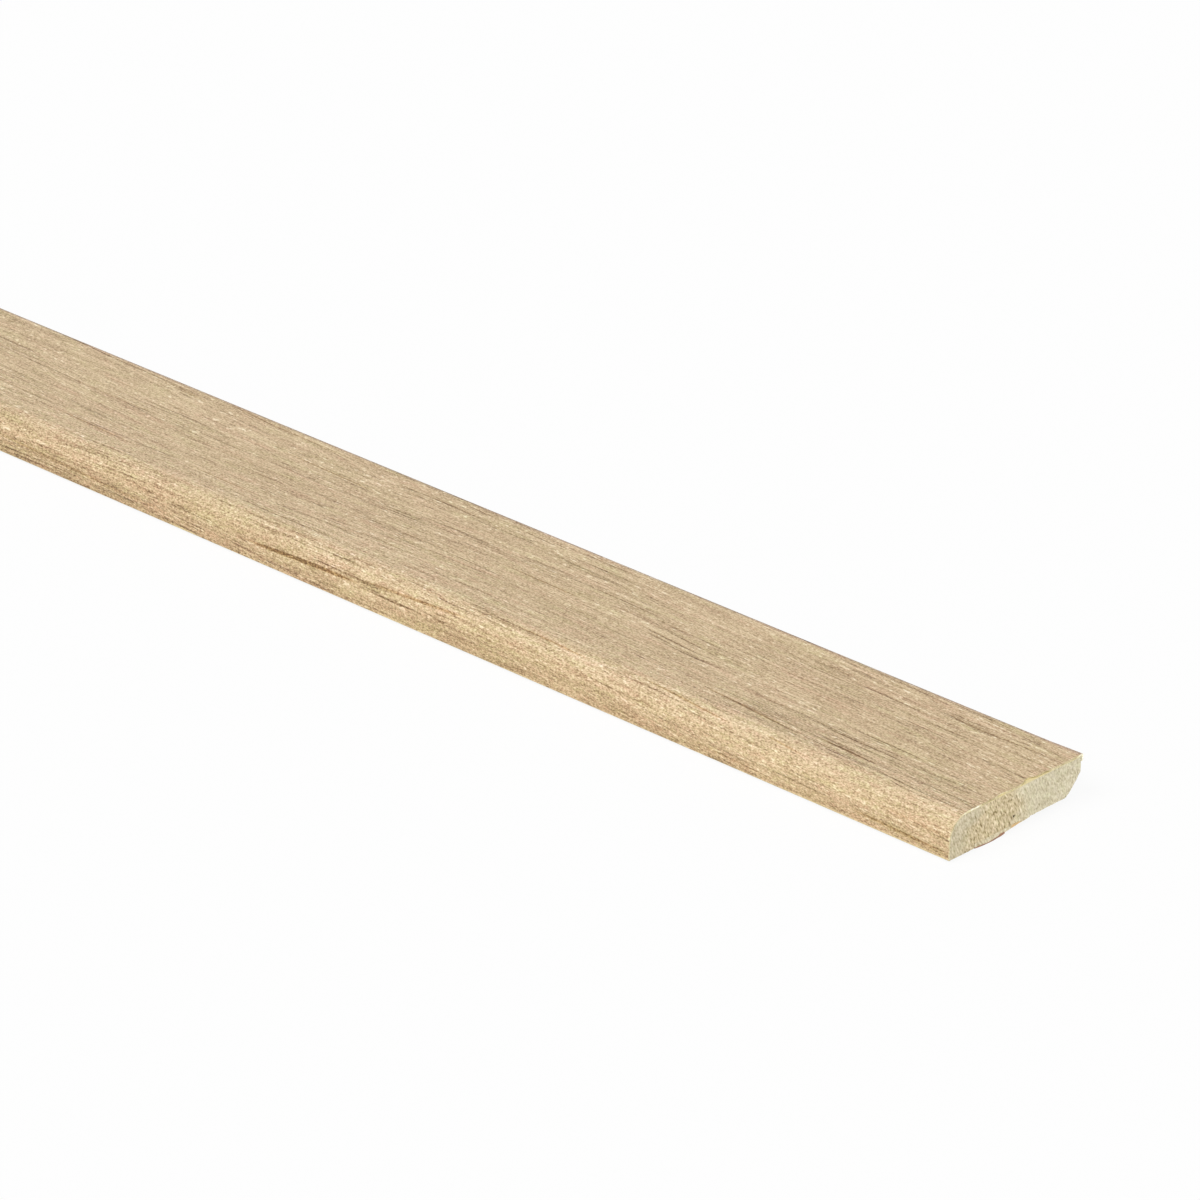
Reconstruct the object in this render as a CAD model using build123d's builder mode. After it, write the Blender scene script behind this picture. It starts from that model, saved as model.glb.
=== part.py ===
from build123d import *

import os

# Self-adhesive skirting strip: a foil-wrapped MDF profile with a foam tape and its liner on the back.
# The strip lies on its adhesive side. X runs along the strip, Y across it from the rounded edge (-Y)
# to the square edge (+Y), and Z up. The origin is on the surface that the strip lies on, at mid-length
# and mid-width. All sizes are in millimetres.

# Driving dimensions of the strip, measured over the foil
LENGTH = 2400.0
WIDTH = 22.0
THICKNESS = 5.0
NOSE_RADIUS = 3.0

# The back: a land along the rounded edge that closes against the wall, and a tape recess beside it
LAND_WIDTH = 4.2
TAPE_RECESS = 0.55

# The relief on the square back edge, which clears the corner between wall and floor
BACK_CHAMFER = 2.4
CHAMFER_SOFTENING = 1.2

# The wood-print foil, and the small radius it takes where it is folded over the square edge
FOIL_THICKNESS = 0.2
FOLD_RADIUS = 0.4

# The double-sided foam tape, its distance from the land, and the liner that peels off it
TAPE_WIDTH = 9.0
TAPE_THICKNESS = 0.65
TAPE_TO_LAND = 0.1
LINER_THICKNESS = 0.12

# Levels and sides that the pieces share
TAPE_UNDERSIDE = LINER_THICKNESS
RECESSED_BACK = TAPE_UNDERSIDE + TAPE_THICKNESS
LAND = RECESSED_BACK - TAPE_RECESS
FACE = LAND + THICKNESS
RELIEF_TOP = RECESSED_BACK + BACK_CHAMFER
ROUNDED_SIDE = -WIDTH / 2
SQUARE_SIDE = WIDTH / 2
LAND_SIDE = ROUNDED_SIDE + LAND_WIDTH
TAPE_SIDE = LAND_SIDE + TAPE_TO_LAND

# The core fills the foil on its three covered sides and is bare on the back
CORE_ROUNDED_SIDE = ROUNDED_SIDE + FOIL_THICKNESS
CORE_SQUARE_SIDE = SQUARE_SIDE - FOIL_THICKNESS
CORE_FACE = FACE - FOIL_THICKNESS
RELIEF_SIDE = CORE_SQUARE_SIDE - BACK_CHAMFER


def corner(section, across, up):
    """The corner that a section has, as it is drawn so far, at one place of its own axes."""
    return section.vertices().sort_by_distance((across, up, 0))[0]


# The MDF core: a bar with a rounded nose, recessed for the tape and relieved at the square back edge
with BuildPart() as mdf_core:
    with BuildSketch(Plane.YZ) as core_section:
        with Locations((CORE_ROUNDED_SIDE, LAND)):
            Rectangle(
                CORE_SQUARE_SIDE - CORE_ROUNDED_SIDE,
                CORE_FACE - LAND,
                align=(Align.MIN, Align.MIN),
            )
        with Locations((LAND_SIDE, LAND)):
            Rectangle(
                CORE_SQUARE_SIDE - LAND_SIDE,
                TAPE_RECESS,
                align=(Align.MIN, Align.MIN),
                mode=Mode.SUBTRACT,
            )
        fillet(corner(core_section, CORE_ROUNDED_SIDE, CORE_FACE), NOSE_RADIUS - FOIL_THICKNESS)
        fillet(corner(core_section, CORE_SQUARE_SIDE, CORE_FACE), FOLD_RADIUS - FOIL_THICKNESS)
        chamfer(corner(core_section, CORE_SQUARE_SIDE, RECESSED_BACK), BACK_CHAMFER)
        fillet(corner(core_section, RELIEF_SIDE, RECESSED_BACK), CHAMFER_SOFTENING)
    extrude(amount=LENGTH / 2, both=True)

# The foil: one sheet folded round the rounded edge, over the face and down the square edge to the relief
with BuildPart() as decor_foil:
    with BuildSketch(Plane.YZ) as foil_section:
        with BuildLine() as foil_outside:
            FilletPolyline(
                (ROUNDED_SIDE, LAND),
                (ROUNDED_SIDE, FACE),
                (SQUARE_SIDE, FACE),
                (SQUARE_SIDE, RELIEF_TOP),
                radius=(NOSE_RADIUS, FOLD_RADIUS),
            )
            offset(amount=FOIL_THICKNESS, side=Side.RIGHT)
        make_face()
    extrude(amount=LENGTH / 2, both=True)

# The double-sided foam tape in the recess
with BuildPart() as adhesive_tape:
    with BuildSketch(Plane.XY.offset(TAPE_UNDERSIDE)):
        with Locations((0, TAPE_SIDE)):
            Rectangle(LENGTH, TAPE_WIDTH, align=(Align.CENTER, Align.MIN))
    extrude(amount=TAPE_THICKNESS)

# The paper liner that covers the tape until the strip is fixed
with BuildPart() as release_liner:
    with BuildSketch(Plane.XY):
        with Locations((0, TAPE_SIDE)):
            Rectangle(LENGTH, TAPE_WIDTH, align=(Align.CENTER, Align.MIN))
    extrude(amount=LINER_THICKNESS)

mdf_core.part.label = "mdf_core"
decor_foil.part.label = "decor_foil"
adhesive_tape.part.label = "adhesive_tape"
release_liner.part.label = "release_liner"

os.makedirs("parts", exist_ok=True)
for piece in (mdf_core, decor_foil, adhesive_tape, release_liner):
    export_step(piece.part, f"parts/{piece.part.label}.step")
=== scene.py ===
"""Looks of a self-adhesive skirting strip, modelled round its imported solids.

The strip lies on its liner. X runs along it, Y across it from the rounded edge to the square edge, and Z
up. The camera looks at the sawn end at +X. Shapes are in metres, and the maths of the finishes is in
millimetres.
"""

import math

import bmesh
import bpy
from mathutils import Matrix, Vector, kdtree, noise


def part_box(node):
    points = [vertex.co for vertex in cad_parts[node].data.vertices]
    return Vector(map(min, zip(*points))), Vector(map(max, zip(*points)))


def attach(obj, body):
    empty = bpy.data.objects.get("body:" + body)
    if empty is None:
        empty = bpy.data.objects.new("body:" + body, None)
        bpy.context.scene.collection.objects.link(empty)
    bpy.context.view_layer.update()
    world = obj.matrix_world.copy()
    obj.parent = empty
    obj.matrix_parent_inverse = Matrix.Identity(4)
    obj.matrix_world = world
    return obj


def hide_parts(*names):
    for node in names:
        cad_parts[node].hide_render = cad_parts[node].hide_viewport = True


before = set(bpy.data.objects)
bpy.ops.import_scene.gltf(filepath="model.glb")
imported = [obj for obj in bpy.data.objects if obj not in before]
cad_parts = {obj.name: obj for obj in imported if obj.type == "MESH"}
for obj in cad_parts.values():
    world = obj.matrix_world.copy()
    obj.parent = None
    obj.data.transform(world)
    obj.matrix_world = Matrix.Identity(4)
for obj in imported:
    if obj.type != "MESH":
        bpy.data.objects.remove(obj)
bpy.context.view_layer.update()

MM = 0.001
TINY = 0.001 * MM

# The section, at the sizes of the solids
NOSE_RADIUS = 3.0 * MM
FOLD_RADIUS = 0.4 * MM
FOIL_THICKNESS = 0.2 * MM
LAND_WIDTH = 4.2 * MM
BACK_RELIEF = 2.4 * MM
RELIEF_SOFTENING = 1.2 * MM
NOSE_STEPS = 24
FOLD_STEPS = 5
SOFTENING_STEPS = 6

# The knife's bevel along the foil's lower edge at the rounded side
TRIM_BEVEL = 0.12 * MM

# Cuts across the strip: even ones along it, and close ones at its ends
BAKE_STRIPS = 6
CUTS_PER_STRIP = 4
END_CUTS = (0.9 * MM, 2.0 * MM, 4.5 * MM, 9.0 * MM, 16.0 * MM)

# The mesh of the sawn ends, and the angle in degrees from which an edge is shaded sharp
SAWN_STEP = 0.16 * MM
SHARP_ANGLE = 35

# The saw left the foil ragged. At the near end it tore the face: where across it, how wide, how deep
FOIL_RECESS = 0.02 * MM
FRAY_DEPTH = 0.14 * MM
FRAY_GRAIN = 0.4 * MM
TEARS = (
    (-2.4 * MM, 0.8 * MM, 0.2 * MM),
    (2.2 * MM, 1.0 * MM, 0.5 * MM),
    (4.6 * MM, 1.2 * MM, 0.16 * MM),
)

# The near end's square side: it is drawn in, apart from a sharp burr of foil at its upper corner
DRAWN_IN = 0.17 * MM
DRAWN_WIDTH = 2.0 * MM
DRAWN_LENGTH = 14.0 * MM
BURR_HEIGHT = 1.2 * MM
BURR_LENGTH = 6.0 * MM
SIDE_TEAR = 0.4 * MM

# The saw left the board a little behind the foil and rough, with torn fibres and a pit at the near end
BOARD_RECESS = 0.02 * MM
FIBRE_DEPTH = 0.12 * MM
FIBRE_WIDTH = 0.3 * MM
FIBRE_HEIGHT = 0.6 * MM
WAVE_DEPTH = 0.06 * MM
WAVE_GRAIN = 2.6 * MM
PIT_Y = -0.2 * MM
PIT_Z = 1.62 * MM
PIT_RADIUS = 0.17 * MM
PIT_DEPTH = 0.42 * MM

# The tape is crushed at the near end: how far its sides are pressed up, where between them it isn't, how
# far along the strip that goes, and how far the tape spreads towards the land
CRUSHED_AT_LAND = 0.19 * MM
CRUSHED_AT_BACK = 0.6 * MM
UNCRUSHED_FROM_LAND = 2.5 * MM
CRUSHED_LENGTH = 10.0 * MM
CRUSHED_SPREAD = 0.12 * MM

# At the near end the liner is crumpled, and torn back behind the tape over its far part
LINER_TORN = 0.6 * MM
LINER_TORN_FROM = 5.1 * MM
LINER_TORN_OVER = 0.5 * MM
LINER_CRUMPLE_Y = -2.35 * MM
LINER_CRUMPLE_WIDTH = 0.6 * MM
LINER_CRUMPLE_HEIGHT = 0.2 * MM

# The tape and its liner aren't quite straight along their edges, which are a little rounded
EDGE_DRIFT = 0.12 * MM
EDGE_DRIFT_LENGTH = 60.0 * MM
TAPE_ROUNDING = 0.08 * MM
LINER_ROUNDING = 0.03 * MM
BAND_STEP = 0.6 * MM

# The bake map: its strips lie side by side, and a band below them holds the ends
BAKE_MAP = "OFBake"
END_BAND = 0.14
BAND_GAP = 0.006
HIDDEN_SHARE = 0.1

# The grain runs a little aslant, towards the rounded edge
GRAIN_SLOPE = 0.025

# Streaks that stand out in the print, in millimetres: place from the near end, girth, length, rise and
# width, and how dark each one is
STREAKS = (
    (-100.5, 2.55, 21.0, 0.6, 0.62, 1.3),
    (-82.0, 3.65, 20.0, 0.8, 0.42, 0.8),
    (-7.0, 0.95, 16.0, -0.5, 0.4, 0.7),
    (-32.0, 0.95, 13.0, -0.6, 0.36, 0.4),
    (-140.0, 1.8, 34.0, -1.2, 0.5, 0.5),
    (-61.0, 5.45, 13.0, -0.4, 0.28, 0.8),
    (-40.5, 5.3, 17.0, -1.2, 0.26, 0.8),
    (-25.5, 4.95, 7.0, -0.5, 0.28, 0.7),
    (-33.0, 8.2, 18.0, -1.6, 0.42, 1.1),
    (-18.5, 8.1, 10.0, -0.5, 0.36, 1.0),
    (-73.0, 15.7, 15.0, -0.35, 0.28, 0.9),
    (-113.0, 19.75, 19.0, -0.5, 0.26, 0.8),
    (-120.0, 9.3, 14.0, -0.3, 0.26, 0.7),
    (-142.0, 9.25, 17.0, -0.7, 0.26, 0.8),
    (-124.0, 24.35, 26.0, -0.8, 0.24, 0.7),
)

# Layers of the oak print and of its painted light, in millimetres: a mark's length and width, and its
# own place in the noise
WANDER = (90.0, 9.0, 1.3)
RIPPLE = (14.0, 2.4, 5.1)
HAZE = (200.0, 3.2, 11.2)
FIGURE = (40.0, 0.36, 17.9)
FIBRES = (6.0, 0.2, 23.4)
SPECKLE_AND_GLINTS = (0.3, 0.15, 31.7)
PATCHES = (34.0, 2.4, 37.2)
PORES = (16.0, 0.28, 41.5)
TICKS = (4.0, 0.26, 45.8)
FAINT_STREAKS = (34.0, 0.6, 53.8)
FLECK_HIGHLIGHTS = (1.1, 0.25, 61.3)
# Blotches on the rounded edge, partly print and partly painted sheen
BLOTCHES_AND_SHEEN = (50.0, 1.6, 71.6)
BLUSH = (7.0, 0.9, 91.7)
DUST = (0.7, 0.3, 97.4)

# The rounded edge has a painted sheen, paler and darker by turns along the strip, in millimetres: the
# length of a turn, and how far from the near end it is palest
SHEEN_SWELL_LENGTH = 330.0
SHEEN_SWELL_PLACE = 10.0

# How far from the near end, in millimetres, a painted sheen starts to calm the rounded edge's print, and
# calms it most
SHEEN_CALM_FROM = 50.0
SHEEN_CALM_FULLY = 25.0

# The foil's lower edge, in millimetres of girth: the limits between which a look of it sets in or ends.
# The hem is painted shade
TRIM_LINE_END = (0.12, 0.24)
RIM_END = (0.35, 0.7)
SHADED_HEM_START = (0.1, 0.3)
SHADED_HEM_END = (0.6, 1.6)
GOLDEN_END = (0.8, 6.0)
FAINT_STREAKS_END = (2.5, 4.5)

# The trimmed line is pale in patches, and all along near the end, in millimetres
TRIM_PATCH_LENGTH = 9.0
TRIM_SHOWS_FROM = 40.0
TRIM_SHOWS_FULLY = 15.0

# The foil's cut edge, in millimetres: its flecks and patches along X, Y and Z, and where it is bright
EDGE_FLECK = (0.6, 0.35, 0.35)
EDGE_PATCH = (3.0, 1.8, 1.8)
EDGE_BRIGHT_Y = -7.4
EDGE_BRIGHT_WIDTH = 1.6
EDGE_BRIGHT_CORNER = (9.6, 10.4)

# The board, in millimetres: the sizes of its clouds, strokes, flecks and hues along X, Y and Z
BOARD_CLOUD = (7.0, 3.2, 2.2)
BOARD_STROKE = (0.6, 0.25, 0.6)
BOARD_FLECK = (0.4, 0.2, 0.34)
BOARD_HUE = (2.0, 0.9, 0.9)

# Zones across the sawn board, in millimetres: a fine skin beside the rounded edge, which reaches further
# in at its top, then a coarse and warm zone, and a line of glue under the foil
ZONE_DRIFT = 6.0
SKIN_END = (-10.0, -7.0)
SKIN_WIDER_ABOVE = (2.8, 4.2)
SKIN_WIDER_BY = 3.5
COARSE_END = (-1.0, 3.0)
WARM_END = (-2.0, 3.0)
GLUE_LINE_END = (0.04, 0.12)

# Fibres in the board and cells in the tape lean over by this much of their height
FIBRE_LEAN = 0.4

# The tape's cells along X, Y and Z, in millimetres, and the gum pressed out of it: where across the end
# it starts and stops, and how far in from the end it reaches
FOAM_CELL = (0.3, 0.28, 0.5)
GUM_START = (-1.1, -0.5)
GUM_END = (0.4, 1.0)
GUM_DEPTH = (3.0, 1.0)

# The liner's fibres and clouds along X, Y and Z, in millimetres
PAPER_FIBRE = (2.5, 0.35, 1.0)
PAPER_CLOUD = (14.0, 4.0, 1.0)

# Colours that are laid over a finish
GOLDEN_TINT = (1.0, 0.965, 0.9, 1.0)
BROWN_TINT = (1.0, 0.9, 0.68, 1.0)
# Painted shade on the fold, where the foil turns down
FOLD_SHADE_TINT = (0.74, 0.72, 0.82, 1.0)
ROSY_TINT = (1.0, 0.93, 0.95, 1.0)
OLIVE_TINT = (0.975, 1.0, 0.965, 1.0)
MOSSY_TINT = (0.95, 1.0, 0.91, 1.0)
LILAC_TINT = (0.98, 0.975, 1.0, 1.0)
WARM_TINT = (0.93, 0.85, 0.75, 1.0)

# The camera: its heading and tilt in degrees, its lens, and where the near lower corner of the rounded
# edge lies in its own axes
VIEW_HEADING = 134.13
VIEW_TILT = 25.54
LENS = 200.5
CORNER_RIGHT = 37.34 * MM
CORNER_UP = -28.02 * MM
CORNER_AHEAD = 714.97 * MM

# Lamps: direction towards the lamp, strength and softness in degrees
KEY_LAMP = (Vector((-0.2, -0.56, 0.8)), 1.3, 40)
END_LAMP = (Vector((0.75, -0.35, 0.56)), 1.46, 60)
SKY_STRENGTH = 0.4
FLOOR_SIZE = 80.0
FLOOR_GLOW = 0.9

foil_low, foil_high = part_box("decor_foil")
core_low, core_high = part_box("mdf_core")
tape_low, tape_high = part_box("adhesive_tape")
liner_low, liner_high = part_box("release_liner")
END = foil_high.x
LAND_SIDE = foil_low.y + LAND_WIDTH
RECESSED_BACK = tape_high.z
RELIEF_TOP = RECESSED_BACK + BACK_RELIEF

# The near end, and the girth at which the rounded edge ends and the fold starts and ends, in millimetres
NEAR_END = END / MM
NOSE_END = (foil_high.z - foil_low.z - NOSE_RADIUS + math.pi / 2 * NOSE_RADIUS) / MM
FOLD_START = NOSE_END + (foil_high.y - foil_low.y - NOSE_RADIUS - FOLD_RADIUS) / MM
FOLD_END = FOLD_START + math.pi / 2 * FOLD_RADIUS / MM


# Modelling

def start_block(name, low, high):
    """Adds a block that fills the box from low to high, and opens it alone in edit mode."""
    bpy.ops.object.select_all(action="DESELECT")
    bpy.ops.mesh.primitive_cube_add(size=1, location=(low + high) / 2, scale=high - low)
    piece = bpy.context.object
    piece.name = name
    piece.data.name = name
    bpy.ops.object.transform_apply(location=True, rotation=True, scale=True)
    bpy.ops.object.mode_set(mode="EDIT")
    return piece


def pick_edges(wanted):
    """Selects only the edges of the open piece whose two ends pass a test."""
    bpy.ops.mesh.select_mode(type="EDGE")
    bpy.ops.mesh.select_all(action="DESELECT")
    data = bpy.context.edit_object.data
    for edge in bmesh.from_edit_mesh(data).edges:
        edge.select_set(all(wanted(corner.co) for corner in edge.verts))
    bmesh.update_edit_mesh(data)


def pick_faces(wanted):
    """Selects only the faces of the open piece that pass a test."""
    bpy.ops.mesh.select_mode(type="FACE")
    bpy.ops.mesh.select_all(action="DESELECT")
    data = bpy.context.edit_object.data
    for face in bmesh.from_edit_mesh(data).faces:
        face.select_set(wanted(face))
    bmesh.update_edit_mesh(data)


def bevel_long_edge(y, z, offset, steps, material=-1):
    """Bevels the edge that runs along the strip at one place of the section."""
    pick_edges(lambda point: abs(point.y - y) < TINY and abs(point.z - z) < TINY)
    bpy.ops.mesh.bevel(offset=offset, segments=steps, profile=0.5, affect="EDGES", material=material)


def cut(axis, places):
    """Cuts the open piece right through, square to an axis, at each place."""
    normal = Vector((0, 0, 0))
    normal[axis] = 1
    for place in places:
        bpy.ops.mesh.select_all(action="SELECT")
        bpy.ops.mesh.bisect(plane_co=normal * place, plane_no=normal)


def cut_lengths():
    """Cuts the open piece across at even lengths, and closer together at its ends."""
    count = BAKE_STRIPS * CUTS_PER_STRIP
    cut(0, [END * (2 * i / count - 1) for i in range(1, count)])
    cut(0, [side * (END - inset) for side in (-1, 1) for inset in END_CUTS])


def steps_between(low, high, step):
    """Evenly spaced places between two limits, about a step apart."""
    count = round((high - low) / step)
    return [low + (high - low) * i / count for i in range(1, count)]


def shade(piece):
    """Shades a finished piece smooth, apart from its sharp edges."""
    piece.data.update()
    bpy.ops.object.shade_smooth_by_angle(angle=math.radians(SHARP_ANGLE))


def saw_ends(piece, depth):
    """Moves the corners on the two end planes inwards, by a depth that changes over the section."""
    for corner in piece.data.vertices:
        side = math.copysign(1, corner.co.x)
        if abs(corner.co.x) > END - TINY:
            corner.co.x -= side * depth(corner.co.y, corner.co.z, side)


def lumps(u, v, seed):
    """Smooth noise over two values, from 0 to 1, with lumps about one unit across."""
    return 0.5 + 0.5 * noise.noise(Vector((u, v, seed)))


def bell(distance):
    """A smooth bump: 1 at no distance and nearly 0 two units away."""
    return math.exp(-distance * distance)


def fade(share):
    """A smooth step from 0 at a share of 0 to 1 at a share of 1."""
    share = min(max(share, 0.0), 1.0)
    return share * share * (3 - 2 * share)


# The bake map

def girth_of(piece, hidden):
    """Distance round the section of each corner of the mesh, and the distance right round it.

    Hidden faces count for a small share of their width.
    """
    mesh = bmesh.new()
    mesh.from_mesh(piece.data)
    ring = {corner for corner in mesh.verts if abs(corner.co.x) < TINY}
    start = min(ring, key=lambda corner: (corner.co.y + corner.co.z, corner.co.z))
    corner, before, distance = start, None, 0.0
    tree = kdtree.KDTree(len(ring))
    distances = []
    while corner is not start or before is None:
        tree.insert((0, corner.co.y, corner.co.z), len(distances))
        distances.append(distance)
        ways = [edge for edge in corner.link_edges if edge is not before]
        ways = [edge for edge in ways if edge.other_vert(corner) in ring]
        edge = max(ways, key=lambda way: way.other_vert(corner).co.z) if before is None else ways[0]
        share = HIDDEN_SHARE if all(hidden(face) for face in edge.link_faces) else 1.0
        distance += edge.calc_length() * share
        corner, before = edge.other_vert(corner), edge
    tree.balance()
    mesh.free()
    nearest = [tree.find((0, corner.co.y, corner.co.z))[1] for corner in piece.data.vertices]
    return [distances[index] for index in nearest], distance


def unroll(piece, hidden):
    """Stores the girth on the mesh, and lays the long faces out for baking in strips, side by side."""
    places, whole = girth_of(piece, hidden)
    stored = piece.data.attributes.new("girth", "FLOAT", "POINT")
    stored.data.foreach_set("value", places)
    layer = piece.data.uv_layers.new(name=BAKE_MAP)
    piece.data.uv_layers.active = layer
    bpy.ops.object.mode_set(mode="EDIT")
    pick_faces(lambda face: abs(face.normal.x) > 0.5)
    bpy.ops.uv.smart_project(angle_limit=1.15, island_margin=0.01, scale_to_bounds=True)
    bpy.ops.object.mode_set(mode="OBJECT")
    layer = piece.data.uv_layers[BAKE_MAP]
    strip_length = 2 * END / BAKE_STRIPS
    row = (1 - END_BAND) / BAKE_STRIPS
    for face in piece.data.polygons:
        if abs(face.normal.x) > 0.5:
            for loop in face.loop_indices:
                layer.uv[loop].vector.y *= END_BAND - BAND_GAP
            continue
        strip = min(int((face.center.x + END) / strip_length), BAKE_STRIPS - 1)
        rounds = [places[corner] for corner in face.vertices]
        over_seam = max(rounds) - min(rounds) > whole / 2
        for loop, corner, around in zip(face.loop_indices, face.vertices, rounds):
            if over_seam and around < whole / 2:
                around += whole
            along = (piece.data.vertices[corner].co.x + END) / strip_length - strip
            across = BAND_GAP + around / whole * (1 - 2 * BAND_GAP)
            layer.uv[loop].vector = (along, END_BAND + row * (strip + across))


# The finishes

MIX_FACTOR, MIX_FIRST, MIX_SECOND, MIX_COLOUR = 0, 6, 7, 2


class Value:
    """A shader socket that takes part in arithmetic. Each operation adds a Math node to its material."""

    def __init__(self, tree, socket=None):
        self.tree = tree
        self.socket = socket

    def node(self, kind, settings=None, inputs=None, output=0):
        """Adds a node of any kind: its settings first, then its inputs. Gives one of its outputs."""
        node = self.tree.nodes.new(kind)
        for name, setting in (settings or {}).items():
            if name == "stops":
                self.set_stops(node.color_ramp, setting)
            else:
                setattr(node, name, setting)
        for name, value in (inputs or {}).items():
            if isinstance(value, Value):
                self.tree.links.new(value.socket, node.inputs[name])
            else:
                node.inputs[name].default_value = value
        return Value(self.tree, node.outputs[output])

    @staticmethod
    def set_stops(ramp, stops):
        """Sets a colour ramp's stops from pairs of position and colour."""
        while len(ramp.elements) < len(stops):
            ramp.elements.new(1.0)
        for element, (position, colour) in zip(ramp.elements, stops):
            element.position = position
            element.color = colour

    def math(self, operation, first, second):
        """A Math node on two values or numbers."""
        return self.node("ShaderNodeMath", {"operation": operation}, {0: first, 1: second})

    def __add__(self, other):
        return self.math("ADD", self, other)

    def __radd__(self, other):
        return self.math("ADD", other, self)

    def __sub__(self, other):
        return self.math("SUBTRACT", self, other)

    def __rsub__(self, other):
        return self.math("SUBTRACT", other, self)

    def __mul__(self, other):
        return self.math("MULTIPLY", self, other)

    def __rmul__(self, other):
        return self.math("MULTIPLY", other, self)

    def __truediv__(self, other):
        return self.math("DIVIDE", self, other)

    def over(self, low, high):
        """0 where the value is at low or past it, 1 at high or past it, and a smooth rise between."""
        limits = {"Value": self, "From Min": low, "From Max": high}
        return self.node("ShaderNodeMapRange", {"interpolation_type": "SMOOTHSTEP"}, limits)

    def between(self, rise, fall):
        """1 between two places and 0 outside, with a smooth rise and fall over the limits given."""
        return self.over(*rise) * (1 - self.over(*fall))

    def noise(self, detail=2.0, rough=0.5):
        """Noise over this vector, about -0.5 to 0.5."""
        inputs = {"Vector": self, "Scale": 1.0, "Detail": detail, "Roughness": rough}
        return self.node("ShaderNodeTexNoise", {"noise_dimensions": "3D"}, inputs) - 0.5

    def coloured(self, stops):
        """The colours of a ramp, read by this value."""
        return self.node("ShaderNodeValToRGB", {"stops": stops}, {"Fac": self})

    def mixed(self, first, second, blend="MIX"):
        """Two colours mixed by this value."""
        settings = {"data_type": "RGBA", "blend_type": blend}
        inputs = {MIX_FACTOR: self, MIX_FIRST: first, MIX_SECOND: second}
        return self.node("ShaderNodeMix", settings, inputs, MIX_COLOUR)


def srgb(red, green, blue):
    """A colour given in 8-bit screen values."""
    levels = [level / 255 for level in (red, green, blue)]
    linear = [v / 12.92 if v <= 0.04045 else ((v + 0.055) / 1.055) ** 2.4 for v in levels]
    return (*linear, 1.0)


TRIM_COLOUR = srgb(234, 214, 164)
GLUE_COLOUR = srgb(226, 212, 164)
GUM_COLOUR = srgb(222, 184, 128)
# Painted shade for the inside of the pit
PIT_SHADE_COLOUR = srgb(84, 76, 56)


def start_finish(name, rough, specular):
    """A new material with its shader's constant sockets set, a start for its nodes, and the shader."""
    material = bpy.data.materials.new(name)
    material.use_nodes = True
    shader = material.node_tree.nodes["Principled BSDF"]
    shader.inputs["Roughness"].default_value = rough
    shader.inputs["Specular IOR Level"].default_value = specular
    return material, Value(material.node_tree), shader


def feed(shader, socket, value):
    """Links a value to one of the shader's sockets."""
    value.tree.links.new(value.socket, shader.inputs[socket])


def raise_surface(shader, height):
    """Turns heights in millimetres into a bump on the shader's normal."""
    inputs = {"Height": height, "Distance": MM, "Strength": 1.0}
    feed(shader, "Normal", height.node("ShaderNodeBump", None, inputs))


def millimetres(start):
    """The place on the object, as three values in millimetres."""
    place = start.node("ShaderNodeTexCoord", output="Object")
    scaled = start.node("ShaderNodeVectorMath", {"operation": "SCALE"}, {0: place, "Scale": 1 / MM})
    return [start.node("ShaderNodeSeparateXYZ", None, {0: scaled}, axis) for axis in range(3)]


def vector(start, x, y, z):
    """Three values or numbers as one vector."""
    return start.node("ShaderNodeCombineXYZ", None, {0: x, 1: y, 2: z})


def mottle(start, place, size, detail=1, rough=0.5):
    """Noise over a place, in lumps of one size along each axis."""
    scaled = [value / length for value, length in zip(place, size)]
    return vector(start, *scaled).noise(detail, rough)


def add_streaks(streaks, along, girth, ripple):
    """Adds the streaks that stand out in the print, each a thin lens, to fainter ones."""
    for place, height, length, rise, width, dark in STREAKS:
        beside = along - (NEAR_END + place)
        across = (girth - height - beside * (rise / length) + ripple * 0.8) / (width / 2)
        lengthways = beside / (length / 2)
        lens = (1 - (lengthways * lengthways + across * across).over(0.2, 1.0)) * dark
        streaks = streaks.math("MAXIMUM", streaks, lens)
    return streaks


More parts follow.
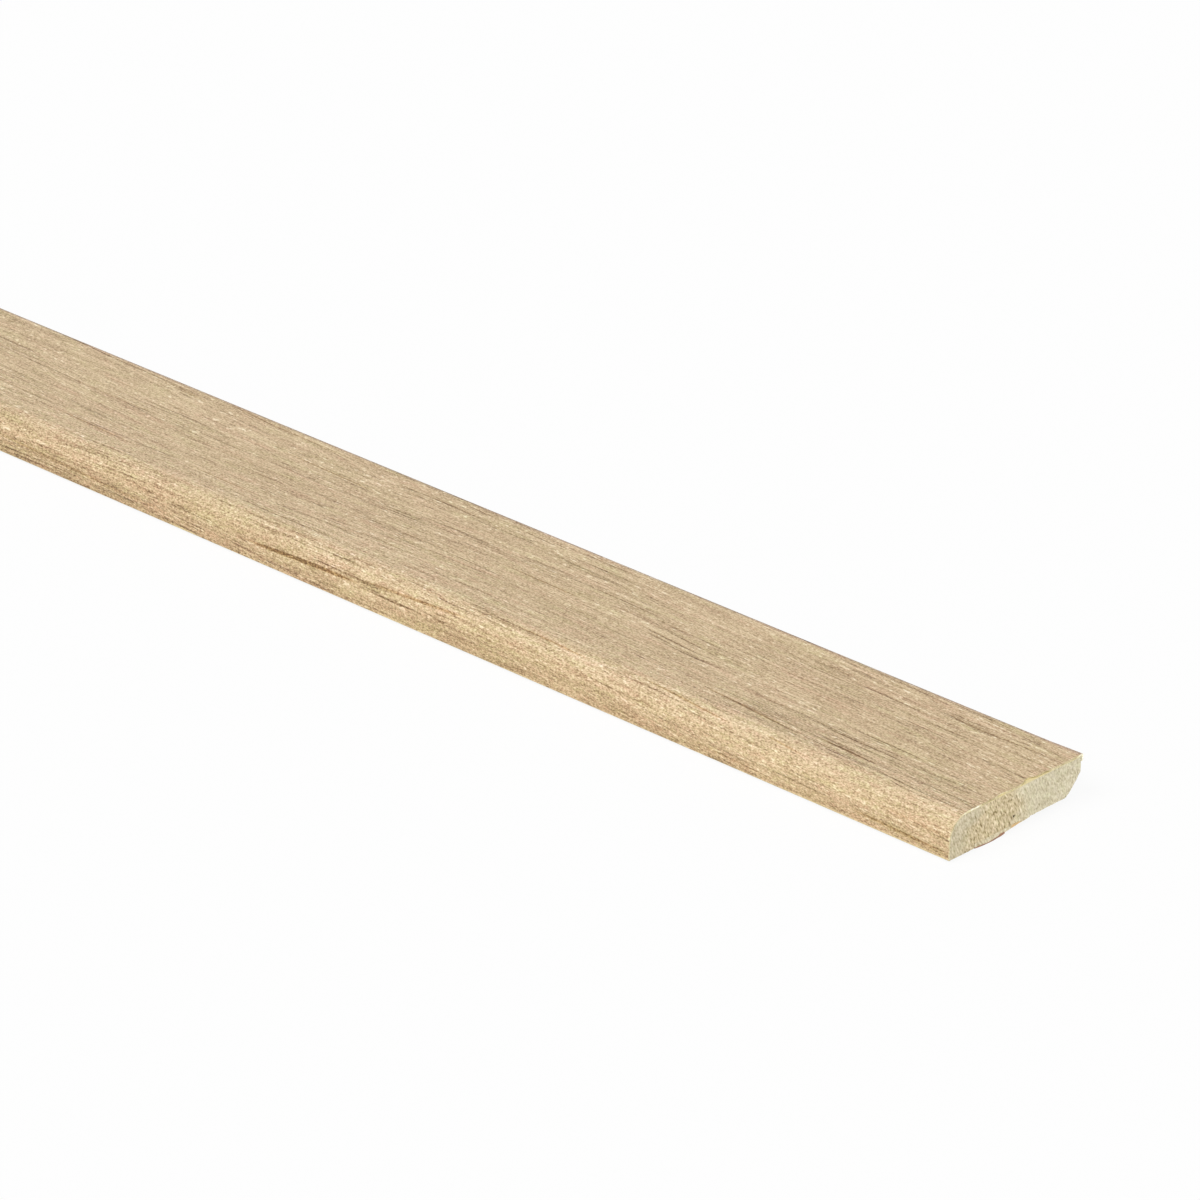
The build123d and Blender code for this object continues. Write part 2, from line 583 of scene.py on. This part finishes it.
def oak_foil():
    """Pale oak print: a calm ground with thin dark pores and pale flecks of painted highlight, golden at
    the rounded edge.
    """
    material, start, shader = start_finish("oak_foil", 0.5, 0.35)
    along = millimetres(start)[0]
    girth = start.node("ShaderNodeAttribute", {"attribute_name": "girth"}, output="Fac") * (1 / MM)

    def dots(layer):
        """A layer of noise that lies straight along the strip."""
        length, width, seed = layer
        return vector(start, along / length, girth / width, seed).noise(1)

    ripple = dots(RIPPLE) * 0.5
    lines = girth + along * GRAIN_SLOPE + dots(WANDER) * 6.0 + ripple

    def grain(layer, detail=2, rough=0.5):
        """A layer of noise that follows the grain."""
        length, width, seed = layer
        return vector(start, along / length, lines / width, seed).noise(detail, rough)

    # What the print and its painted light are made of
    nose = 1 - girth.over(NOSE_END - 1.9, NOSE_END + 0.5)
    # Livelier speckle on the rounded edge: partly print, partly painted glints of grazing light on the
    # emboss
    lively_and_glinting = 1 - girth.over(NOSE_END - 1.7, NOSE_END + 5.3)
    haze = grain(HAZE)
    figure = grain(FIGURE)
    fibres = grain(FIBRES, 2, 0.6)
    # Fine speckle: partly print, partly painted glints on the emboss
    speckle_and_glints = dots(SPECKLE_AND_GLINTS)
    patches = 0.3 + 0.7 * grain(PATCHES, 1).over(-0.12, 0.12)
    pores = grain(PORES, 1).over(0.12, 0.2) * patches
    ticks = grain(TICKS, 1).over(0.12, 0.21) * patches
    # Pale flecks: painted highlights on the emboss
    flecks = grain(FLECK_HIGHLIGHTS, 1).over(0.1, 0.24) * (0.4 + 0.6 * patches)
    faint = grain(FAINT_STREAKS, 1).over(0.18, 0.25) * (1 - girth.over(*FAINT_STREAKS_END)) * 0.3
    streaks = add_streaks(faint, along, girth, ripple) * (0.75 + fibres * 1.5)

    # Its tone
    # Painted sheen: near the near end the rounded edge's grain is drawn calmer
    calm = along.over(NEAR_END - SHEEN_CALM_FROM, NEAR_END - SHEEN_CALM_FULLY) * nose
    drawn = haze * 0.13 + figure * 0.38 + fibres * 0.72 - pores * 0.29 - ticks * 0.22
    ground = drawn * (1 - calm * 0.35) + speckle_and_glints * (1.1 + lively_and_glinting * 0.25)
    marks = flecks * 0.42 - streaks * 0.42
    # Painted sheen on the rounded edge, palest near the near end, over blotches that are partly print
    # and partly sheen
    turn = (along - (NEAR_END - SHEEN_SWELL_PLACE)) * (2 * math.pi / SHEEN_SWELL_LENGTH)
    sheen_swell = start.math("COSINE", turn, 0)
    blotches_and_sheen = (grain(BLOTCHES_AND_SHEEN, 1) * 0.12 + sheen_swell * 0.055) * nose
    # Painted highlight: a pale band where the rounded edge turns into the face
    ridge_highlight = girth.between((NOSE_END - 3.1, NOSE_END - 1.3), (NOSE_END - 0.7, NOSE_END + 1.3))
    # Painted shade on the low part of the rounded edge, and a darker lowest rim
    shaded_hem_and_rim = girth.between(SHADED_HEM_START, SHADED_HEM_END) * 0.06 + (1 - girth.over(*RIM_END)) * 0.07
    tone = 0.5 + ground + marks + blotches_and_sheen + ridge_highlight * 0.03 - shaded_hem_and_rim

    # Its colour
    colour = tone.coloured([
        (0.0, srgb(112, 84, 54)),
        (0.25, srgb(162, 135, 100)),
        (0.5, srgb(201, 176, 139)),
        (0.75, srgb(226, 203, 166)),
        (1.0, srgb(250, 234, 204)),
    ])
    golden = 1 - girth.over(*GOLDEN_END)
    colour = golden.mixed(colour, GOLDEN_TINT, "MULTIPLY")
    colour = streaks.mixed(colour, BROWN_TINT, "MULTIPLY")
    blush = grain(BLUSH) + dots(DUST) * (0.5 + lively_and_glinting * 0.5)
    colour = blush.over(0.0, 0.3).mixed(colour, ROSY_TINT, "MULTIPLY")
    colour = (1 - blush.over(-0.3, 0.0)).mixed(colour, MOSSY_TINT, "MULTIPLY")
    # Painted shade along the fold, where the foil turns down away from the light
    fold = girth.between((FOLD_START - 0.46, FOLD_START - 0.06), (FOLD_END - 0.04, FOLD_END + 0.46))
    colour = fold.mixed(colour, FOLD_SHADE_TINT, "MULTIPLY")
    trimmed = vector(start, along / TRIM_PATCH_LENGTH, 0.5, 83.3).noise(1).over(0.05, 0.2)
    near = along.over(NEAR_END - TRIM_SHOWS_FROM, NEAR_END - TRIM_SHOWS_FULLY)
    trimmed = start.math("MAXIMUM", trimmed, near * 0.8)
    trim_line = (1 - girth.over(*TRIM_LINE_END)) * trimmed * 0.6
    colour = trim_line.mixed(colour, TRIM_COLOUR)

    feed(shader, "Base Color", colour)
    feed(shader, "Roughness", 0.46 + pores * 0.15 + fibres * 0.15)
    raised = fibres * 0.03 + speckle_and_glints * 0.015 + flecks * 0.02
    raise_surface(shader, raised - pores * 0.05 - ticks * 0.03 - streaks * 0.03)
    return material


def foil_edge():
    """The foil's pale carrier, bare along its cut edges and on its hidden back."""
    material, start, shader = start_finish("foil_edge", 0.6, 0.3)
    x, y, z = millimetres(start)
    flecks = mottle(start, (x, y, z), EDGE_FLECK, 2)
    patches = mottle(start, (x, y, z), EDGE_PATCH)
    beside = (y - EDGE_BRIGHT_Y) / EDGE_BRIGHT_WIDTH
    bright = 1 - (beside * beside).over(0.4, 1.2) + y.over(*EDGE_BRIGHT_CORNER)
    tone = 0.34 + bright * 0.5 + flecks * 1.0 + patches * 1.5
    colour = tone.coloured([
        (0.0, srgb(176, 160, 116)),
        (0.4, srgb(214, 200, 158)),
        (0.75, srgb(242, 232, 192)),
        (1.0, srgb(255, 250, 228)),
    ])
    feed(shader, "Base Color", colour)
    feed(shader, "Roughness", 0.6 + flecks * 0.2)
    return material


def raw_mdf():
    """Bare fibreboard: greyish straw and fine, but warm and torn coarse towards the rounded edge, with
    painted shade between torn fibres.
    """
    material, start, shader = start_finish("raw_mdf", 0.85, 0.2)
    x, y, z = millimetres(start)
    clouds = mottle(start, (x, y, z), BOARD_CLOUD, 2)
    drift = y + clouds * ZONE_DRIFT
    skin = 1 - (drift - z.over(*SKIN_WIDER_ABOVE) * SKIN_WIDER_BY).over(*SKIN_END)
    coarse = (1 - skin) * (1 - drift.over(*COARSE_END))
    warm = (1 - skin * 0.7) * (1 - drift.over(*WARM_END))
    lean = y + z * FIBRE_LEAN
    strokes = mottle(start, (x, lean, z), BOARD_STROKE)
    flecks = mottle(start, (x, lean, z), BOARD_FLECK)
    # Pale torn fibres, with painted shade in the dark strokes between them
    torn = strokes.over(0.06, 0.24) - (strokes * -1).over(0.1, 0.26)
    tone = 0.51 + clouds * 0.3 + strokes * 0.65 + flecks * (0.85 + coarse * 0.35) - skin * 0.07
    tone = tone + torn * (0.06 + coarse * 0.28)
    colour = tone.coloured([
        (0.0, srgb(140, 128, 92)),
        (0.25, srgb(186, 175, 143)),
        (0.5, srgb(215, 205, 176)),
        (0.75, srgb(234, 225, 198)),
        (1.0, srgb(252, 246, 224)),
    ])
    colour = warm.mixed(colour, WARM_TINT, "MULTIPLY")
    hues = mottle(start, (x, lean, z), BOARD_HUE)
    colour = hues.over(0.0, 0.2).mixed(colour, OLIVE_TINT, "MULTIPLY")
    colour = (1 - hues.over(-0.2, 0.0) * (1 - skin)).mixed(colour, LILAC_TINT, "MULTIPLY")
    below_foil = core_high.z / MM - z
    glue = 1 - below_foil.over(*GLUE_LINE_END)
    colour = glue.mixed(colour, GLUE_COLOUR)
    # Painted shade inside the pit at the near end, which is also sunk into the board
    across = (y - PIT_Y / MM) / (PIT_RADIUS / MM)
    upwards = (z - PIT_Z / MM) / (PIT_RADIUS / MM)
    pit_shade = (1 - (across * across + upwards * upwards).over(0.2, 1.4)) * x.over(0.0, 1.0)
    colour = pit_shade.mixed(colour, PIT_SHADE_COLOUR)
    feed(shader, "Base Color", colour)
    feed(shader, "Roughness", 0.85 + flecks * 0.15)
    raise_surface(shader, strokes * 0.06 + flecks * 0.05)
    return material


def foam_tape():
    """Pale foam tape: cream, with open cells, and gum pressed out of it at the near end."""
    material, start, shader = start_finish("foam_tape", 0.75, 0.25)
    x, y, z = millimetres(start)
    cells = mottle(start, (x, y + z * FIBRE_LEAN, z), FOAM_CELL, 2)
    colour = (0.5 + cells * 1.5).coloured([
        (0.0, srgb(160, 142, 104)),
        (0.5, srgb(216, 204, 172)),
        (1.0, srgb(252, 246, 222)),
    ])
    start_depth, full_depth = GUM_DEPTH
    pressed = y.between(GUM_START, GUM_END) * x.over(NEAR_END - start_depth, NEAR_END - full_depth)
    colour = (pressed * (0.8 + cells)).mixed(colour, GUM_COLOUR)
    feed(shader, "Base Color", colour)
    feed(shader, "Roughness", 0.75 + cells * 0.3)
    raise_surface(shader, cells * 0.05)
    return material


def liner_paper():
    """Red-brown release paper with a light gloss and fine fibres."""
    material, start, shader = start_finish("liner_paper", 0.45, 0.4)
    place = millimetres(start)
    fibres = mottle(start, place, PAPER_FIBRE, 3, 0.6)
    clouds = mottle(start, place, PAPER_CLOUD, 2)
    colour = (0.5 + fibres * 0.8 + clouds * 0.8).coloured([
        (0.0, srgb(112, 78, 62)),
        (0.5, srgb(158, 112, 86)),
        (1.0, srgb(196, 150, 108)),
    ])
    feed(shader, "Base Color", colour)
    feed(shader, "Roughness", 0.42 + fibres * 0.25)
    raise_surface(shader, fibres * 0.01)
    return material


# The pieces

def seat(piece, node):
    """Puts a piece in the place of a solid, on the part's one body."""
    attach(piece, "root")
    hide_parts(node)


def below_burr(z):
    """0 at the height of the burr and 1 below it."""
    return fade(3 * (foil_high.z - z) / BURR_HEIGHT - 2)


def draw_in(piece, share):
    """Draws the square side in towards the near end, by a share that depends on the height."""
    for corner in piece.data.vertices:
        near = fade(1 - (END - corner.co.x) / DRAWN_LENGTH)
        beside = fade(1 - (foil_high.y - corner.co.y) / DRAWN_WIDTH)
        corner.co.y -= DRAWN_IN * near * beside * share(corner.co.z)


def sharpen_fold(piece):
    """Opens the foil's fold to a sharp burr at the near end."""
    centre_y = foil_high.y - FOLD_RADIUS
    centre_z = foil_high.z - FOLD_RADIUS
    for corner in piece.data.vertices:
        across = corner.co.y - centre_y
        up = corner.co.z - centre_z
        if across > TINY and up > TINY:
            near = fade(1 - (END - corner.co.x) / BURR_LENGTH)
            stretch = (math.hypot(across, up) / max(across, up) - 1) * near
            corner.co.y += across * stretch
            corner.co.z += up * stretch


def fray(y, z, side):
    """How far the saw tore the foil back from an end."""
    depth = FOIL_RECESS + FRAY_DEPTH * lumps(y / FRAY_GRAIN, z / FRAY_GRAIN, side * 3.7)
    if side > 0 and z > foil_high.z - FOLD_RADIUS:
        depth += sum(tear * bell((y - place) / width) for place, width, tear in TEARS)
    if side > 0 and y > foil_high.y - FOLD_RADIUS:
        depth += SIDE_TEAR * below_burr(z)
    return depth


def wrap_foil():
    """The foil: one open sheet over the two edges and the face, given its thickness inwards."""
    piece = start_block("oak_foil_wrap", foil_low, foil_high)
    pick_faces(lambda face: abs(face.normal.x) > 0.5 or face.normal.z < -0.5)
    bpy.ops.mesh.delete(type="FACE")
    pick_edges(lambda point: point.y > 0 and point.z < foil_high.z - TINY)
    bpy.ops.transform.translate(value=(0, 0, RELIEF_TOP - foil_low.z))
    bevel_long_edge(foil_low.y, foil_high.z, NOSE_RADIUS, NOSE_STEPS)
    bevel_long_edge(foil_high.y, foil_high.z, FOLD_RADIUS, FOLD_STEPS)
    cut_lengths()
    cut(1, steps_between(foil_low.y + NOSE_RADIUS, foil_high.y - FOLD_RADIUS, SAWN_STEP))
    cut(2, steps_between(foil_low.z, foil_high.z - NOSE_RADIUS, SAWN_STEP))
    cut(2, steps_between(RELIEF_TOP, foil_high.z - FOLD_RADIUS, SAWN_STEP))
    bpy.ops.object.mode_set(mode="OBJECT")
    piece.data.materials.append(oak_foil())
    piece.data.materials.append(foil_edge())
    wall = piece.modifiers.new("wall", "SOLIDIFY")
    wall.thickness = FOIL_THICKNESS
    wall.offset = -1
    wall.use_even_offset = True
    wall.material_offset = 1
    wall.material_offset_rim = 1
    bpy.ops.object.modifier_apply(modifier="wall")
    bpy.ops.object.mode_set(mode="EDIT")
    bevel_long_edge(foil_low.y, foil_low.z, TRIM_BEVEL, 1, material=1)
    bpy.ops.object.mode_set(mode="OBJECT")
    unroll(piece, lambda face: face.material_index == 1)
    saw_ends(piece, fray)
    sharpen_fold(piece)
    draw_in(piece, below_burr)
    shade(piece)
    seat(piece, "decor_foil")


def roughen(y, z, side):
    """How deep the saw tore into the board at an end."""
    depth = BOARD_RECESS + FIBRE_DEPTH * lumps(y / FIBRE_WIDTH, z / FIBRE_HEIGHT, side * 9.1)
    depth += WAVE_DEPTH * lumps(y / WAVE_GRAIN, z / WAVE_GRAIN, side * 5.3)
    if side > 0:
        depth += PIT_DEPTH * bell(math.hypot(y - PIT_Y, z - PIT_Z) / PIT_RADIUS)
    return depth


def saw_core():
    """The board: a bar with a rounded edge, a land and a recess on its back, and two rough sawn ends."""
    piece = start_block("sawn_mdf_core", Vector((core_low.x, core_low.y, RECESSED_BACK)), core_high)
    bevel_long_edge(core_low.y, core_high.z, NOSE_RADIUS - FOIL_THICKNESS, NOSE_STEPS)
    bevel_long_edge(core_high.y, core_high.z, FOLD_RADIUS - FOIL_THICKNESS, FOLD_STEPS)
    bevel_long_edge(core_high.y, RECESSED_BACK, BACK_RELIEF, 1)
    softening = RELIEF_SOFTENING * math.tan(math.radians(45 / 2))
    bevel_long_edge(core_high.y - BACK_RELIEF, RECESSED_BACK, softening, SOFTENING_STEPS)
    cut(1, [LAND_SIDE])
    pick_faces(lambda face: face.normal.z < -0.9 and face.calc_center_median().y < LAND_SIDE)
    down = Vector((0, 0, core_low.z - RECESSED_BACK))
    bpy.ops.mesh.extrude_region_move(TRANSFORM_OT_translate={"value": down})
    cut_lengths()
    cut(1, steps_between(core_low.y, core_high.y, SAWN_STEP))
    cut(2, steps_between(core_low.z, core_high.z, SAWN_STEP))
    bpy.ops.object.mode_set(mode="OBJECT")
    piece.data.materials.append(raw_mdf())
    unroll(piece, lambda face: face.normal.z > -0.3 and face.calc_center_median().z > RECESSED_BACK)
    saw_ends(piece, roughen)
    draw_in(piece, lambda z: 1.0)
    shade(piece)
    seat(piece, "mdf_core")


def crushed(corner):
    """How far the tape's underside is pressed up at one place."""
    from_land = corner.y - tape_low.y
    at_land = CRUSHED_AT_LAND * (1 - from_land / UNCRUSHED_FROM_LAND)
    width = tape_high.y - tape_low.y
    at_back = CRUSHED_AT_BACK * (from_land - UNCRUSHED_FROM_LAND) / (width - UNCRUSHED_FROM_LAND)
    return max(at_land, at_back) * fade(1 - (END - corner.x) / CRUSHED_LENGTH)


def spread(corner):
    """Moves a corner of the crushed tape out towards the land."""
    beside_land = fade(1 - (corner.y - tape_low.y) / UNCRUSHED_FROM_LAND)
    corner.y -= CRUSHED_SPREAD * beside_land * fade(1 - (END - corner.x) / CRUSHED_LENGTH)


def lay_band(name, low, high, rounding, seed):
    """A thin band along the back, with softened edges that drift a little from a straight line."""

    def ragged(y, z, side):
        return BOARD_RECESS + FIBRE_DEPTH * lumps(y / FIBRE_WIDTH, z / MM, seed + side)

    piece = start_block(name, low, high)
    for y in (low.y, high.y):
        for z in (low.z, high.z):
            bevel_long_edge(y, z, rounding, 2)
    cut_lengths()
    cut(1, steps_between(low.y, high.y, BAND_STEP))
    bpy.ops.object.mode_set(mode="OBJECT")
    unroll(piece, lambda face: False)
    saw_ends(piece, ragged)
    middle = (low.y + high.y) / 2
    for corner in piece.data.vertices:
        side = math.copysign(1, corner.co.y - middle)
        drift = EDGE_DRIFT * lumps(corner.co.x / EDGE_DRIFT_LENGTH, side, seed)
        corner.co.y -= drift * (corner.co.y - middle) / (high.y - middle)
    return piece


def stick_tape():
    """The foam tape, which keeps to the board above and is crushed from below at the near end."""
    piece = lay_band("double_sided_tape", tape_low, tape_high, TAPE_ROUNDING, 2.9)
    for corner in piece.data.vertices:
        depth = (tape_high.z - corner.co.z) / (tape_high.z - tape_low.z)
        corner.co.z += crushed(corner.co) * depth
        spread(corner.co)
    piece.data.materials.append(foam_tape())
    shade(piece)
    seat(piece, "adhesive_tape")


def lay_liner():
    """The liner, which follows the tape's underside and is crumpled and torn at the near end."""
    piece = lay_band("liner_strip", liner_low, liner_high, LINER_ROUNDING, 8.3)
    middle = (liner_low.z + liner_high.z) / 2
    for corner in piece.data.vertices:
        if corner.co.x > END - END_CUTS[0] + TINY:
            crumple = bell((corner.co.y - LINER_CRUMPLE_Y) / LINER_CRUMPLE_WIDTH)
            corner.co.x += (END - corner.co.x) * crumple
            from_land = corner.co.y - liner_low.y
            corner.co.x -= LINER_TORN * fade((from_land - LINER_TORN_FROM) / LINER_TORN_OVER)
            if corner.co.z > middle:
                corner.co.z += LINER_CRUMPLE_HEIGHT * crumple
        corner.co.z += crushed(corner.co)
        spread(corner.co)
    piece.data.materials.append(liner_paper())
    shade(piece)
    seat(piece, "release_liner")


# The studio

def add_lamp(name, towards, strength, softness):
    """A distant lamp that shines from one direction, with a soft edge to its shadows."""
    data = bpy.data.lights.new(name, "SUN")
    data.energy = strength
    data.angle = math.radians(softness)
    lamp = bpy.data.objects.new(name, data)
    lamp.rotation_euler = towards.to_track_quat("Z", "Y").to_euler()
    bpy.context.collection.objects.link(lamp)


def seen_directly(start):
    """1 for rays that come from the camera, a mirror or glass, and 0 for light that falls on things."""
    kinds = ("Is Camera Ray", "Is Glossy Ray", "Is Transmission Ray")
    camera, glossy, through = (start.node("ShaderNodeLightPath", output=kind) for kind in kinds)
    return start.math("MAXIMUM", start.math("MAXIMUM", camera, glossy), through)


def light_studio():
    """A white sky, two soft lamps and a white floor that keeps a faint shadow."""
    add_lamp("key_lamp", *KEY_LAMP)
    add_lamp("end_lamp", *END_LAMP)
    world = bpy.data.worlds.new("white_studio")
    world.use_nodes = True
    bpy.context.scene.world = world
    start = Value(world.node_tree)
    strength = SKY_STRENGTH + seen_directly(start) * (1 - SKY_STRENGTH)
    start.tree.links.new(strength.socket, world.node_tree.nodes["Background"].inputs["Strength"])
    world.node_tree.nodes["Background"].inputs["Color"].default_value = (1, 1, 1, 1)

    bpy.ops.object.select_all(action="DESELECT")
    bpy.ops.mesh.primitive_plane_add(size=FLOOR_SIZE)
    floor = bpy.context.object
    floor.name = "floor"
    material = bpy.data.materials.new("white_floor")
    material.use_nodes = True
    tree = material.node_tree
    start = Value(tree)
    matte = start.node("ShaderNodeBsdfDiffuse", None, {"Color": (0.9, 0.9, 0.9, 1)})
    glow = start.node("ShaderNodeEmission", None, {"Strength": 1.0})
    glowing = seen_directly(start) * FLOOR_GLOW
    mixed = start.node("ShaderNodeMixShader", None, {0: glowing, 1: matte, 2: glow})
    tree.links.new(mixed.socket, tree.nodes["Material Output"].inputs["Surface"])
    floor.data.materials.append(material)


def place_camera():
    """Looks at the sawn end from the rounded side, from as far off as the picture was taken."""
    data = bpy.data.cameras.new("camera")
    data.lens = LENS
    data.clip_start = 0.01
    camera = bpy.data.objects.new("camera", data)
    camera.rotation_euler = (math.radians(90 - VIEW_TILT), 0, math.radians(VIEW_HEADING - 90))
    corner = Vector((END, foil_low.y, foil_low.z))
    turn = camera.rotation_euler.to_matrix()
    camera.location = corner - turn @ Vector((CORNER_RIGHT, CORNER_UP, -CORNER_AHEAD))
    bpy.context.collection.objects.link(camera)
    bpy.context.scene.camera = camera


wrap_foil()
saw_core()
stick_tape()
lay_liner()
light_studio()
place_camera()
bpy.context.scene.view_settings.view_transform = "Standard"
